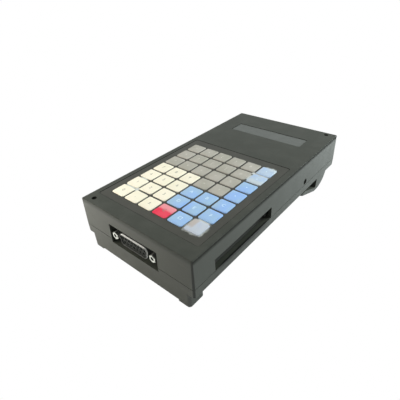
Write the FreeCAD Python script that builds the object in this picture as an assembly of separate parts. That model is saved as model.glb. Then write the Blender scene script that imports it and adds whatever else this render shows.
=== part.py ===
"""Handheld programmer: a keyed terminal in a moulded case of two shells.

Millimetres. +X is the user's right, +Y runs towards the display, +Z is up out of the keys.
The origin lies under the middle of the case, on the surface that the case rests on.
"""

import FreeCAD
import Part

import math
import os

# Keys, counted from the display down and from the left across
key_columns = 6
key_rows = 7
key_pitch_x = 12.7
key_pitch_y = 12.4
key_width = 11.1
key_length = 10.8
key_corner_radius = 1.0
key_edge_chamfer = 0.4
key_proud = 0.6              # cap above the bezel
key_travel = 0.5
key_side_clearance = 0.2     # cap to its window in the bezel
key_play = 0.1               # collar below the bezel at rest
key_collar_thickness = 0.9
key_collar_gap = 0.6         # between the collars of neighbouring keys
plunger_size = 4.6

# Keypad bezel, dome sheet and keypad board
keypad_side_border = 5.5     # bezel outside the outermost keys
keypad_near_border = 6.2
keypad_far_border = 7.9
bezel_thickness = 2.2
bezel_recess = 0.2           # bezel top below the top face of the case
bezel_corner_radius = 1.5
bezel_clearance = 0.25       # groove around the bezel
ledge_width = 3.6            # shelf under the edge of the bezel
ledge_thickness = 3.2
dome_sheet_thickness = 0.6
dome_height = 0.7
dome_base_diameter = 7.0
dome_top_diameter = 5.0
dome_clearance = 0.1         # plunger above its pressed dome
keypad_board_margin = 0.7    # board inside the outline of the bezel
board_thickness = 1.6

# Display
display_width = 64.5
display_length = 14.5
display_corner_radius = 1.0
lens_clearance = 0.2
lens_recess = 0.3
lens_flange = 3.0
lens_flange_thickness = 1.2
frame_gap = 0.6              # lens to the frame of the display
frame_height = 4.0
frame_border_x = 3.1
frame_border_y = 5.1
frame_overlap = 0.5          # frame opening outside the window
frame_sheet = 0.5
glass_thickness = 2.7
glass_clearance = 0.3
display_board_width = 84.0
display_board_length = 38.0
standoff_inset = 3.5
standoff_diameter = 4.6

# Case
case_side_margin = 5.2       # bezel to the side of the case
keypad_near_margin = 11.2    # bezel to the near end of the case
display_gap = 35.3           # bezel to the display window
display_far_margin = 23.7    # display window to the far end of the case
case_height = 37.5
parting_height = 17.0
skirt_height = 10.0          # lower edge of the side walls
wall = 2.4
front_draft = 0.6            # each front wall leans in by this much at the top
corner_radius = 1.5
least_corner_radius = 1.0    # upright corners inside the walls
top_edge_radius = 0.8
skirt_edge_radius = 1.0
parting_groove = 0.3
lip_height = 1.6             # locating lip of the rear housing, inside the front one
lip_thickness = 1.0
fit_clearance = 0.2

# Columns that join the shells: two mounting holes and two screws at the corners, two screws between
column_inset_x = 8.0
column_inset_y = 5.4
column_diameter = 7.6
middle_column_gap = 8.0      # bezel to the middle columns
mounting_hole_diameter = 3.4
screw_diameter = 2.9
screw_bore_clearance = 0.05
screw_length = 16.0
screw_head_diameter = 5.5
screw_head_height = 2.2
screw_seat_height = 13.0
screw_slot_width = 0.9
screw_slot_depth = 1.0

# Heat stakes that hold the boards
stake_diameter = 1.8
stake_head_diameter = 3.2
stake_head_height = 0.8
stake_clearance = 0.15
keypad_stake_inset = 1.6     # from the edge of the keypad board
keypad_stake_rows = 3

# Foot bar and pads at the near end
foot_bar_inset = 4.0         # bar inside the sides of the case
foot_bar_length = 12.5
foot_bar_corner_radius = 2.0
foot_pad_width = 8.6
foot_pad_height = 1.2
foot_rib_count = 3
foot_rib_thickness = 1.6

# Hanging hook under the display end: a leg, and a sprung tongue that rises to the underside
hook_far_margin = 15.0       # back of the hook to the far end of the case
hook_leg_length = 16.6
heel_flat = 3.6              # level underside of the leg
heel_bulge = 2.4
hook_core_length = 7.0       # hollow of the leg, open to the inside of the case
hook_core_floor = 4.2
tongue_reach = 27.0
tongue_flat = 2.0            # level underside of the tongue, next to the leg
tongue_root_thickness = 2.6
tongue_root_radius = 1.5
tongue_lip = 7.0             # level top of the tongue at its tip
tongue_tip_thickness = 1.3
tongue_tip_gap = 0.5         # tip of the tongue below the underside
tongue_corner_radius = 3.0

# Main board and its posts
main_board_side_gap = 2.6
main_board_near_margin = 11.0
main_board_length = 137.0
board_post_height = 1.0
board_post_diameter = 5.0
board_post_inset = 5.0

# Socket in the near end: a 15-way shell between two jack posts
recess_width = 42.0
recess_height = 14.6
recess_depth = 5.5
recess_panel = 1.6           # wall at the back of the recess
socket_rise = 6.3            # centre above the main board
socket_width = 25.0
socket_height = 8.3
socket_corner_radius = 2.4
socket_side_angle = 10.0
socket_sheet = 0.5
socket_reach = 5.0           # shell in front of the panel
socket_cutout_clearance = 0.4
flange_end_margin = 2.9      # jack post to the end of the flange
flange_height = 12.5
flange_thickness = 1.0
flange_corner_radius = 1.0
insulator_recess = 0.6
insulator_body_width = 31.0
insulator_body_length = 5.6
insulator_body_rise = 5.2
contact_pitch = 2.77
contact_row_pitch = 2.84
contact_upper_count = 8
contact_diameter = 1.5
contact_clearance = 0.05
contact_recess = 1.2
contact_tail_diameter = 0.7
contact_tail_step = 2.0
contact_tail_reach = 0.6     # tail below the main board
jack_spacing = 33.3
jack_flats = 4.75
jack_length = 5.2
jack_thread_diameter = 2.8
jack_thread_length = 3.8
jack_bore_diameter = 2.4
jack_bore_depth = 4.6
jack_nut_room = 5.8          # clear width round the threads inside the case

# Card slot in the right side and the guide behind it
card_slot_near_margin = 18.4
card_slot_length = 60.2
card_slot_height = 8.4
card_width = 54.0
card_clearance = 0.3
guide_wall = 2.5
guide_depth = 48.0
guide_channel = 5.6
guide_lip_width = 2.0
guide_lip_thickness = 2.0
guide_gap = 0.3              # guide to the locating lip
header_length = 6.0
header_slot_height = 2.2
header_slot_depth = 4.0
header_slot_width = 50.0

# Contrast trimmer behind the round hole in the right side
trimmer_gap = 9.9            # middle column to the trimmer
trimmer_rise = 5.1           # axis above the main board
trimmer_width = 6.8
trimmer_depth = 4.0
trimmer_head_room = 3.3
rotor_diameter = 3.6
rotor_clearance = 0.08
rotor_seat = 2.4             # rotor inside the trimmer
rotor_length = 4.8
rotor_gap = 0.3              # rotor to the locating lip
rotor_slot = 0.8
side_hole_diameter = 4.6

# Outline of the keypad and of the case
keys_length = (key_rows - 1) * key_pitch_y + key_length
keypad_width = (key_columns - 1) * key_pitch_x + key_width + 2 * keypad_side_border
keypad_length = keypad_near_border + keys_length + keypad_far_border
body_width = keypad_width + 2 * case_side_margin
body_length = (keypad_near_margin + keypad_length + display_gap
               + display_length + display_far_margin)
side = body_width / 2
near_end = -body_length / 2
far_end = body_length / 2
keypad_y = near_end + keypad_near_margin + keypad_length / 2
keys_y = near_end + keypad_near_margin + keypad_near_border + keys_length / 2
display_y = far_end - display_far_margin - display_length / 2

# Heights of the stack under the top face
ceiling = case_height - wall
bezel_top = case_height - bezel_recess
bezel_bottom = bezel_top - bezel_thickness
ledge_bottom = bezel_bottom - ledge_thickness
keypad_board_top = ledge_bottom - dome_sheet_thickness
keypad_board_bottom = keypad_board_top - board_thickness
dome_top = ledge_bottom + dome_height
lens_flange_bottom = ceiling - lens_flange_thickness
frame_top = lens_flange_bottom - frame_gap
display_board_top = frame_top - frame_height
display_board_bottom = display_board_top - board_thickness

# Heights of the stack on the floor
floor_top = skirt_height + wall
main_board_bottom = floor_top + board_post_height
main_board_top = main_board_bottom + board_thickness
socket_z = main_board_top + socket_rise
recess_bottom = socket_z - recess_height / 2
recess_top = socket_z + recess_height / 2
trimmer_z = main_board_top + trimmer_rise

# Depths of the socket, from the near end inwards
recess_back = near_end + recess_depth
panel_back = recess_back + recess_panel
flange_back = panel_back + flange_thickness
insulator_back = flange_back + insulator_body_length
flange_half_width = jack_spacing / 2 + flange_end_margin
main_board_near = near_end + main_board_near_margin
main_board_far = main_board_near + main_board_length
main_board_half_width = side - wall - main_board_side_gap

# Locating lip, measured in from the outline of the case
lip_outside = (wall + front_draft * lip_height / (case_height - parting_height)
               + fit_clearance)
lip_inside = lip_outside + lip_thickness

# Hook, card slot and trimmer
hook_back = far_end - hook_far_margin
hook_front = hook_back - hook_leg_length
card_slot_y = near_end + card_slot_near_margin + card_slot_length / 2
guide_front = side - lip_inside - guide_gap
guide_half_length = card_width / 2 + card_clearance
column_x = side - column_inset_x
column_y = far_end - column_inset_y
middle_column_y = keypad_y + keypad_length / 2 + middle_column_gap
trimmer_y = middle_column_y + trimmer_gap
rotor_end = side - lip_inside - rotor_gap
trimmer_front = rotor_end - rotor_length + rotor_seat

# Places of the columns, posts and stakes
mounting_columns = ((-column_x, -column_y), (column_x, column_y))
screw_columns = (
    (column_x, -column_y),
    (-column_x, column_y),
    (-column_x, middle_column_y),
    (column_x, middle_column_y),
)
post_x = main_board_half_width - board_post_inset
guide_far = card_slot_y + guide_half_length + guide_wall
board_posts = (
    (-post_x, main_board_near + board_post_inset),
    (-post_x, card_slot_y),
    (-post_x, main_board_far - board_post_inset),
    (post_x, guide_far + board_post_inset),
    (post_x, main_board_far - board_post_inset),
)
standoff_x = display_board_width / 2 - standoff_inset
standoff_y = display_board_length / 2 - standoff_inset
display_standoffs = [
    (x, display_y + y) for x in (-standoff_x, standoff_x) for y in (-standoff_y, standoff_y)
]
keypad_board_width = keypad_width - 2 * keypad_board_margin
keypad_board_length = keypad_length - 2 * keypad_board_margin
keypad_stake_x = keypad_board_width / 2 - keypad_stake_inset
keypad_stake_span = keypad_board_length - 2 * keypad_stake_inset - stake_head_diameter
keypad_stakes = [
    (x, keypad_y + keypad_stake_span * (row / (keypad_stake_rows - 1) - 0.5))
    for x in (-keypad_stake_x, keypad_stake_x)
    for row in range(keypad_stake_rows)
]

UP = FreeCAD.Vector(0, 0, 1)
ALONG = FreeCAD.Vector(0, 1, 0)
ACROSS = FreeCAD.Vector(1, 0, 0)
BEYOND = 5.0                 # cutters run past the faces that they cut by this much
TINY = 1e-6                  # a smaller difference counts as none
HEXAGON_SIDES = 6


def block(x_range, y_range, z_range):
    """Box between two values on each axis."""
    corner = FreeCAD.Vector(x_range[0], y_range[0], z_range[0])
    return Part.makeBox(
        x_range[1] - x_range[0], y_range[1] - y_range[0], z_range[1] - z_range[0], corner
    )


def rod(start, direction, diameter, length):
    """Round bar from a start point."""
    return Part.makeCylinder(diameter / 2, length, FreeCAD.Vector(*start), direction)


def column(x, y, bottom, top, diameter):
    """Upright round bar between two heights."""
    return rod((x, y, bottom), UP, diameter, top - bottom)


def prism(points, direction):
    """Straight solid on a polygon."""
    corners = [FreeCAD.Vector(*point) for point in points]
    outline = Part.makePolygon(corners + corners[:1])
    return Part.Face(outline).extrude(direction)


def rounded_outline(width, length, radius, height, middle):
    """Level rectangle with round corners."""
    half_x = width / 2 - radius
    half_y = length / 2 - radius
    arcs = []
    for turn, (x, y) in enumerate(((1, 1), (-1, 1), (-1, -1), (1, -1))):
        center = FreeCAD.Vector(middle[0] + x * half_x, middle[1] + y * half_y, height)
        circle = Part.Circle(center, UP, radius)
        quarter = Part.ArcOfCircle(circle, turn * math.pi / 2, (turn + 1) * math.pi / 2)
        arcs.append(quarter.toShape())
    edges = []
    for arc, following in zip(arcs, arcs[1:] + arcs[:1]):
        edges.append(arc)
        edges.append(Part.makeLine(arc.Vertexes[-1].Point, following.Vertexes[0].Point))
    return Part.Wire(edges)


def slab(width, length, radius, bottom, top, middle=(0.0, 0.0)):
    """Plate with round corners between two heights."""
    outline = rounded_outline(width, length, radius, bottom, middle)
    return Part.Face(outline).extrude(UP * (top - bottom))


def edges_at(shape, height):
    """Edges of a shape that lie level at a height."""
    return [
        edge for edge in shape.Edges
        if all(abs(vertex.Z - height) < TINY for vertex in edge.Vertexes)
    ]


def edges_along(shape, direction):
    """Straight edges of a shape that run along a direction."""
    return [
        edge for edge in shape.Edges
        if isinstance(edge.Curve, Part.Line)
        and edge.Curve.Direction.cross(direction).Length < TINY
    ]


def joined(first, others):
    """One solid from pieces that are moulded together."""
    shape = first
    for other in others:
        shape = shape.fuse(other)
    return shape.removeSplitter()


def less(shape, cutters):
    """A shape with cutters taken away."""
    for cutter in cutters:
        shape = shape.cut(cutter)
    return shape


def save(node, solids):
    """Write one node; a group of like pieces is written as separate solids."""
    shape = solids[0] if len(solids) == 1 else Part.makeCompound(solids)
    for solid in solids:
        if len(solid.Solids) != 1 or not solid.isValid():
            raise ValueError(f"{node} is not made of whole solids")
    shape.exportStep(f"parts/{node}.step")


def wall_inset(height):
    """How far a front wall leans in at a height."""
    return front_draft * (height - parting_height) / (case_height - parting_height)


def case_outline(inset, height):
    """Outline of the case, set in from the parting line."""
    radius = max(corner_radius - inset, least_corner_radius)
    return rounded_outline(
        body_width - 2 * inset, body_length - 2 * inset, radius, height, (0.0, 0.0)
    )


def case_ring(outer_inset, inner_inset, bottom, top):
    """Upright band that follows the outline of the case."""
    outer = Part.Face(case_outline(outer_inset, bottom)).extrude(UP * (top - bottom))
    inner = Part.Face(case_outline(inner_inset, bottom)).extrude(UP * (top - bottom))
    return outer.cut(inner)


def parting_groove_cutter():
    """Fine groove around the case where the shells meet."""
    return case_ring(
        -BEYOND, parting_groove, parting_height - parting_groove / 2, parting_height + parting_groove / 2
    )


def column_clearances():
    """Room around every column, for the boards and the lip."""
    width = column_diameter + 2 * fit_clearance
    places = mounting_columns + screw_columns
    return [column(x, y, 0, case_height, width) for x, y in places]


def stake(x, y, seat, far_face):
    """Moulded pin through a board, with its head flattened on the far face."""
    pin = column(x, y, min(seat, far_face), max(seat, far_face), stake_diameter)
    head_bottom = far_face if far_face > seat else far_face - stake_head_height
    head = column(x, y, head_bottom, head_bottom + stake_head_height, stake_head_diameter)
    return pin.fuse(head)


def stake_holes(places, bottom, top):
    """Holes of a board that its stakes pass through."""
    width = stake_diameter + 2 * stake_clearance
    return [column(x, y, bottom, top, width) for x, y in places]


def recess_cutter():
    """Space of the socket recess, open at the near end."""
    return block(
        (-recess_width / 2, recess_width / 2),
        (near_end - BEYOND, recess_back),
        (recess_bottom, recess_top),
    )


def card_slot_cutter():
    """Slot of the right side wall, from the parting line up."""
    return block(
        (guide_front, side + BEYOND),
        (card_slot_y - card_slot_length / 2, card_slot_y + card_slot_length / 2),
        (parting_height, parting_height + card_slot_height),
    )


def front_shell():
    """Top and walls of the front housing, with leaning walls and a round top edge."""
    outer = Part.makeLoft(
        [case_outline(0, parting_height), case_outline(front_draft, case_height)], True, True
    )
    outer = outer.makeFillet(top_edge_radius, edges_at(outer, case_height))
    hollow = Part.makeLoft(
        [case_outline(wall, parting_height), case_outline(wall + wall_inset(ceiling), ceiling)],
        True, True,
    )
    return outer.cut(hollow)


def bezel_ledge():
    """Shelf inside the front housing that carries the keypad bezel."""
    outside = slab(
        body_width - wall - 2 * front_draft, keypad_length + 2 * ledge_width,
        bezel_corner_radius, ledge_bottom, bezel_bottom, (0.0, keypad_y),
    )
    opening = slab(
        keypad_width - 2 * ledge_width, keypad_length - 2 * ledge_width,
        bezel_corner_radius, ledge_bottom, bezel_bottom, (0.0, keypad_y),
    )
    return outside.cut(opening)


def socket_well():
    """Walls around the socket recess, clear of the rear housing below the parting line."""
    half_width = recess_width / 2 + recess_panel
    upper = block(
        (-half_width, half_width),
        (near_end + wall / 2, panel_back),
        (parting_height, recess_top + recess_panel),
    )
    lower = block(
        (-half_width, half_width),
        (near_end + wall + fit_clearance, panel_back),
        (recess_bottom + fit_clearance, parting_height),
    )
    return upper.fuse(lower)


def d_prism(clearance, near, far):
    """D-shaped bar along Y around the centre of the socket, wider at the top."""
    half_height = socket_height / 2 + clearance
    half_width = socket_width / 2 + clearance
    taper = 2 * half_height * math.tan(math.radians(socket_side_angle))
    bar = prism(
        (
            (-half_width, near, socket_z + half_height),
            (half_width, near, socket_z + half_height),
            (half_width - taper, near, socket_z - half_height),
            (taper - half_width, near, socket_z - half_height),
        ),
        ALONG * (far - near),
    )
    return bar.makeFillet(socket_corner_radius + clearance, edges_along(bar, ALONG))


def jack_holes(near, far, diameter):
    """Pair of holes for the jack posts."""
    return [
        rod((x, near, socket_z), ALONG, diameter, far - near)
        for x in (-jack_spacing / 2, jack_spacing / 2)
    ]


def front_housing():
    """Upper shell with its openings, ledge, columns, standoffs and stakes."""
    column_bottoms = [
        column(x, y, parting_height, ceiling, column_diameter)
        for x, y in mounting_columns + screw_columns
    ]
    standoffs = [
        column(x, y, display_board_top, ceiling, standoff_diameter) for x, y in display_standoffs
    ]
    display_stakes = [
        stake(x, y, display_board_top, display_board_bottom) for x, y in display_standoffs
    ]
    board_stakes = [stake(x, y, ledge_bottom, keypad_board_bottom) for x, y in keypad_stakes]
    shell = joined(
        front_shell(),
        [bezel_ledge(), socket_well()] + column_bottoms + standoffs + display_stakes + board_stakes,
    )
    bezel_pocket = slab(
        keypad_width + 2 * bezel_clearance, keypad_length + 2 * bezel_clearance,
        bezel_corner_radius + bezel_clearance, bezel_bottom, case_height + BEYOND, (0.0, keypad_y),
    )
    display_opening = slab(
        display_width, display_length, display_corner_radius,
        ceiling - BEYOND, case_height + BEYOND, (0.0, display_y),
    )
    side_hole = rod(
        (guide_front, trimmer_y, trimmer_z), ACROSS, side_hole_diameter, wall + BEYOND
    )
    mounting_holes = [
        column(x, y, 0, case_height + BEYOND, mounting_hole_diameter) for x, y in mounting_columns
    ]
    screw_bores = [
        column(
            x, y, parting_height, screw_seat_height + screw_length + fit_clearance,
            screw_diameter + 2 * screw_bore_clearance,
        )
        for x, y in screw_columns
    ]
    socket_cutout = d_prism(socket_cutout_clearance, recess_back - fit_clearance, panel_back)
    post_holes = jack_holes(
        recess_back, panel_back, jack_thread_diameter + 2 * screw_bore_clearance
    )
    cutters = [
        bezel_pocket, display_opening, card_slot_cutter(), side_hole, recess_cutter(),
        socket_cutout, parting_groove_cutter(),
    ]
    return less(shell, cutters + mounting_holes + screw_bores + post_holes)


def rear_shell():
    """Floor and walls of the rear housing, with a locating lip inside the parting line."""
    height = parting_height - skirt_height
    outer = Part.Face(case_outline(0, skirt_height)).extrude(UP * height)
    outer = outer.makeFillet(skirt_edge_radius, edges_at(outer, skirt_height))
    hollow = Part.Face(case_outline(wall, floor_top)).extrude(UP * height)
    lip_root = case_ring(wall / 2, lip_inside, parting_height - lip_height, parting_height)
    lip = case_ring(lip_outside, lip_inside, parting_height, parting_height + lip_height)
    return joined(outer.cut(hollow), [lip_root, lip])


def foot_bar():
    """Hollow bar across the near end, with a pad at each end of it and ribs between."""
    width = body_width - 2 * foot_bar_inset
    middle_y = near_end + foot_bar_length / 2
    bar = slab(
        width, foot_bar_length, foot_bar_corner_radius, 0, skirt_height + wall / 2, (0.0, middle_y)
    )
    pad_start = width / 2 - foot_pad_width
    pad_gap = block((-pad_start, pad_start), (near_end, near_end + foot_bar_length), (0, foot_pad_height))
    pocket_end = pad_start - wall
    pocket = block(
        (-pocket_end, pocket_end),
        (near_end + wall, near_end + foot_bar_length - wall),
        (foot_pad_height, skirt_height),
    )
    rib_step = 2 * pocket_end / (foot_rib_count + 1)
    for rib in range(1, foot_rib_count + 1):
        x = rib * rib_step - pocket_end
        pocket = pocket.cut(block(
            (x - foot_rib_thickness / 2, x + foot_rib_thickness / 2),
            (near_end, near_end + foot_bar_length),
            (foot_pad_height, skirt_height),
        ))
    return less(bar, [pad_gap, pocket])


def hook():
    """Leg across the far end with a round heel, and a sprung tongue that points to the near end."""
    root = skirt_height + wall / 2
    heel_start = FreeCAD.Vector(-side, hook_front + heel_flat, 0)
    heel_end = FreeCAD.Vector(-side, hook_back, skirt_height)
    chord = heel_end - heel_start
    outward = chord.cross(ACROSS).normalize()
    heel_middle = heel_start + chord * 0.5 + outward * heel_bulge
    tongue_tip = hook_front - tongue_reach
    lip_top = skirt_height - tongue_tip_gap
    profile = (
        (hook_back, root),
        (hook_front, root),
        (hook_front, tongue_root_thickness),
        (tongue_tip + tongue_lip, lip_top),
        (tongue_tip, lip_top),
        (tongue_tip, lip_top - tongue_tip_thickness),
        (hook_front - tongue_flat, 0),
    )
    corners = [heel_end] + [FreeCAD.Vector(-side, y, z) for y, z in profile] + [heel_start]
    edges = [Part.makeLine(first, second) for first, second in zip(corners, corners[1:])]
    edges.append(Part.Arc(heel_start, heel_middle, heel_end).toShape())
    bar = Part.Face(Part.Wire(edges)).extrude(ACROSS * body_width)
    tip_corners = [
        edge for edge in edges_along(bar, UP)
        if abs(edge.Vertexes[0].Y - tongue_tip) < TINY
    ]
    bar = bar.makeFillet(tongue_corner_radius, tip_corners)
    root_corner = [
        edge for edge in edges_at(bar, tongue_root_thickness)
        if abs(edge.Vertexes[0].Y - hook_front) < TINY
    ]
    return bar.makeFillet(tongue_root_radius, root_corner)


def rear_housing():
    """Lower shell with its columns, board posts, foot bar and hook."""
    columns = [
        column(x, y, skirt_height + wall / 2, parting_height, column_diameter)
        for x, y in mounting_columns + screw_columns
    ]
    posts = [column(x, y, floor_top, main_board_bottom, board_post_diameter) for x, y in board_posts]
    stakes = [stake(x, y, main_board_bottom, main_board_top) for x, y in board_posts]
    recess_floor = block(
        (-recess_width / 2 - recess_panel, recess_width / 2 + recess_panel),
        (near_end + wall / 2, panel_back),
        (skirt_height + wall / 2, recess_bottom),
    )
    lip_gaps = [
        column(x, y, parting_height, case_height, column_diameter + 2 * fit_clearance)
        for x, y in mounting_columns + screw_columns
    ]
    well_half = recess_width / 2 + recess_panel + fit_clearance
    well_room = block(
        (-well_half, well_half),
        (near_end + wall, panel_back + fit_clearance),
        (recess_bottom, case_height),
    )
    hook_core = block(
        (wall - side, side - wall),
        (hook_front + wall, hook_front + wall + hook_core_length),
        (hook_core_floor, floor_top),
    )
    mounting_holes = [
        column(x, y, -BEYOND, parting_height, mounting_hole_diameter) for x, y in mounting_columns
    ]
    screw_holes = [
        column(x, y, 0, parting_height, screw_diameter + 2 * screw_bore_clearance)
        for x, y in screw_columns
    ]
    head_wells = [
        column(x, y, -BEYOND, screw_seat_height, screw_head_diameter + 2 * fit_clearance)
        for x, y in screw_columns
    ]
    shell = less(rear_shell(), lip_gaps)
    shell = joined(shell, [foot_bar(), hook(), recess_floor] + columns + posts + stakes)
    cutters = [well_room, hook_core, recess_cutter(), card_slot_cutter(), parting_groove_cutter()]
    return less(shell, cutters + mounting_holes + screw_holes + head_wells)


def key_places():
    """Node name and middle of each key, row by row from the display down."""
    for row in range(key_rows):
        for number in range(key_columns):
            x = (number - (key_columns - 1) / 2) * key_pitch_x
            y = keys_y + ((key_rows - 1) / 2 - row) * key_pitch_y
            yield f"key_row{row + 1}_col{number + 1}", x, y


def keypad_bezel():
    """Grid around the keys, let into the top face."""
    plate = slab(
        keypad_width, keypad_length, bezel_corner_radius, bezel_bottom, bezel_top, (0.0, keypad_y)
    )
    window_width = key_width + 2 * key_side_clearance
    window_length = key_length + 2 * key_side_clearance
    windows = [
        slab(
            window_width, window_length, key_corner_radius + key_side_clearance,
            bezel_bottom, bezel_top, (x, y),
        )
        for _, x, y in key_places()
    ]
    return plate.cut(Part.makeCompound(windows))


def key(x, y):
    """Flat cap with a bevelled edge, a collar that holds it under the bezel, and a plunger."""
    collar_top = bezel_bottom - key_play
    collar_bottom = collar_top - key_collar_thickness
    cap = slab(key_width, key_length, key_corner_radius, collar_top, bezel_top + key_proud, (x, y))
    cap = cap.makeChamfer(key_edge_chamfer, edges_at(cap, bezel_top + key_proud))
    half_x = (key_pitch_x - key_collar_gap) / 2
    half_y = (key_pitch_y - key_collar_gap) / 2
    collar = block((x - half_x, x + half_x), (y - half_y, y + half_y), (collar_bottom, collar_top))
    half = plunger_size / 2
    plunger = block(
        (x - half, x + half), (y - half, y + half),
        (dome_top + dome_clearance + key_travel, collar_bottom),
    )
    return joined(cap, [collar, plunger])


def dome_sheet():
    """Rubber sheet with a low dome under each key, drawn pressed."""
    sheet = slab(
        keypad_board_width, keypad_board_length, bezel_corner_radius,
        keypad_board_top, ledge_bottom, (0.0, keypad_y),
    )
    domes = [
        Part.makeCone(
            dome_base_diameter / 2, dome_top_diameter / 2, dome_height,
            FreeCAD.Vector(x, y, ledge_bottom),
        )
        for _, x, y in key_places()
    ]
    holes = stake_holes(keypad_stakes, keypad_board_top, ledge_bottom)
    return less(sheet.fuse(domes), holes)


def keypad_board():
    """Board under the dome sheet."""
    board = slab(
        keypad_board_width, keypad_board_length, bezel_corner_radius,
        keypad_board_bottom, keypad_board_top, (0.0, keypad_y),
    )
    holes = stake_holes(keypad_stakes, keypad_board_bottom, keypad_board_top)
    return less(board, holes + column_clearances())


def display_window():
    """Clear lens, stepped to fill the opening from inside."""
    flange = slab(
        display_width + 2 * lens_flange, display_length + 2 * lens_flange, display_corner_radius,
        lens_flange_bottom, ceiling, (0.0, display_y),
    )
    pane = slab(
        display_width - 2 * lens_clearance, display_length - 2 * lens_clearance,
        display_corner_radius, ceiling, case_height - lens_recess, (0.0, display_y),
    )
    return joined(flange, [pane])


def display_frame():
    """Sheet-metal frame over the display glass."""
    width = display_width + 2 * frame_border_x
    length = display_length + 2 * frame_border_y
    outside = slab(
        width, length, display_corner_radius, display_board_top, frame_top, (0.0, display_y)
    )
    inside = slab(
        width - 2 * frame_sheet, length - 2 * frame_sheet, display_corner_radius,
        display_board_top, frame_top - frame_sheet, (0.0, display_y),
    )
    opening = slab(
        display_width + 2 * frame_overlap, display_length + 2 * frame_overlap,
        display_corner_radius, display_board_top, frame_top, (0.0, display_y),
    )
    return less(outside, [inside, opening])


def display_glass():
    """Glass of the display, under the frame."""
    inset = 2 * (frame_sheet + glass_clearance)
    top = frame_top - frame_sheet - glass_clearance / 2
    return slab(
        display_width + 2 * frame_border_x - inset, display_length + 2 * frame_border_y - inset,
        display_corner_radius, top - glass_thickness, top, (0.0, display_y),
    )


def display_board():
    """Board of the display, hung from the front housing."""
    board = slab(
        display_board_width, display_board_length, display_corner_radius,
        display_board_bottom, display_board_top, (0.0, display_y),
    )
    holes = stake_holes(display_standoffs, display_board_bottom, display_board_top)
    return less(board, holes + column_clearances())


def contact_places():
    """Place of each socket contact in the end face, and of its tail along Y."""
    lower_count = contact_upper_count - 1
    for count, row in ((contact_upper_count, 1), (lower_count, 0)):
        z = socket_z + (row - 0.5) * contact_row_pitch
        tail_y = insulator_back + (row + 0.5) * contact_tail_step
        for number in range(count):
            x = (number - (count - 1) / 2) * contact_pitch
            yield x, z, tail_y


def socket_shell():
    """Sheet-metal flange with a D-shaped collar through the panel."""
    flange = block(
        (-flange_half_width, flange_half_width),
        (panel_back, flange_back),
        (socket_z - flange_height / 2, socket_z + flange_height / 2),
    )
    flange = flange.makeFillet(flange_corner_radius, edges_along(flange, ALONG))
    front = recess_back - socket_reach
    collar = d_prism(0, front, flange_back)
    hollow = d_prism(-socket_sheet, front, flange_back)
    holes = jack_holes(panel_back, flange_back, jack_thread_diameter + 2 * screw_bore_clearance)
    return less(joined(flange, [collar]), [hollow] + holes)


def socket_insulator():
    """Moulded body that fills the shell and stands on the main board."""
    front = recess_back - socket_reach + insulator_recess
    core = d_prism(-socket_sheet - contact_clearance, front, flange_back)
    body = block(
        (-insulator_body_width / 2, insulator_body_width / 2),
        (flange_back, insulator_back),
        (main_board_top, socket_z + insulator_body_rise),
    )
    post_rooms = jack_holes(flange_back, flange_back + jack_thread_length, jack_nut_room)
    bores = [
        rod((x, front, z), ALONG, contact_diameter + 2 * contact_clearance, insulator_back - front)
        for x, z, _ in contact_places()
    ]
    return less(joined(core, [body]), post_rooms + bores)


def socket_contacts():
    """Fifteen contacts, each with a tail down through the main board."""
    front = recess_back - socket_reach + insulator_recess + contact_recess
    contacts = []
    for x, z, tail_y in contact_places():
        barrel_end = tail_y + contact_diameter / 2
        barrel = rod((x, front, z), ALONG, contact_diameter, barrel_end - front)
        tail = column(x, tail_y, main_board_bottom - contact_tail_reach, z, contact_tail_diameter)
        contacts.append(joined(barrel, [tail]).Solids[0])
    return contacts


def jack_posts():
    """Pair of hexagonal posts with a threaded bore, screwed through the panel."""
    across_corners = jack_flats / math.cos(math.pi / HEXAGON_SIDES)
    turns = [2 * math.pi * corner / HEXAGON_SIDES for corner in range(HEXAGON_SIDES)]
    posts = []
    for x in (-jack_spacing / 2, jack_spacing / 2):
        points = [
            (
                x + across_corners / 2 * math.sin(turn),
                recess_back - jack_length,
                socket_z + across_corners / 2 * math.cos(turn),
            )
            for turn in turns
        ]
        head = prism(points, ALONG * jack_length)
        thread = rod((x, recess_back, socket_z), ALONG, jack_thread_diameter, jack_thread_length)
        bore = rod(
            (x, recess_back - jack_length, socket_z), ALONG, jack_bore_diameter, jack_bore_depth
        )
        posts.append(less(joined(head, [thread]), [bore]).Solids[0])
    return posts


def main_board():
    """Board on the posts of the rear housing."""
    board = block(
        (-main_board_half_width, main_board_half_width),
        (main_board_near, main_board_far),
        (main_board_bottom, main_board_top),
    )
    tail_holes = [
        column(x, tail_y, main_board_bottom, main_board_top, contact_tail_diameter + 2 * stake_clearance)
        for x, _, tail_y in contact_places()
    ]
    holes = stake_holes(board_posts, main_board_bottom, main_board_top)
    return less(board, holes + tail_holes + column_clearances())


def card_guide():
    """Open frame on the main board, with a channel for each side of the card and a header behind."""
    half = guide_half_length + guide_wall
    back = guide_front - guide_depth
    channel_top = parting_height + guide_channel
    top = channel_top + guide_lip_thickness
    base = block(
        (back, guide_front), (card_slot_y - half, card_slot_y + half), (main_board_top, top)
    )
    card_space = block(
        (back + header_length, guide_front),
        (card_slot_y - guide_half_length, card_slot_y + guide_half_length),
        (parting_height, channel_top),
    )
    between_lips = block(
        (back + header_length, guide_front),
        (
            card_slot_y - guide_half_length + guide_lip_width,
            card_slot_y + guide_half_length - guide_lip_width,
        ),
        (parting_height, top),
    )
    slot_z = parting_height + guide_channel / 2
    header_slot = block(
        (back + header_length - header_slot_depth, back + header_length),
        (card_slot_y - header_slot_width / 2, card_slot_y + header_slot_width / 2),
        (slot_z - header_slot_height / 2, slot_z + header_slot_height / 2),
    )
    return less(base, [card_space, between_lips, header_slot])


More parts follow.
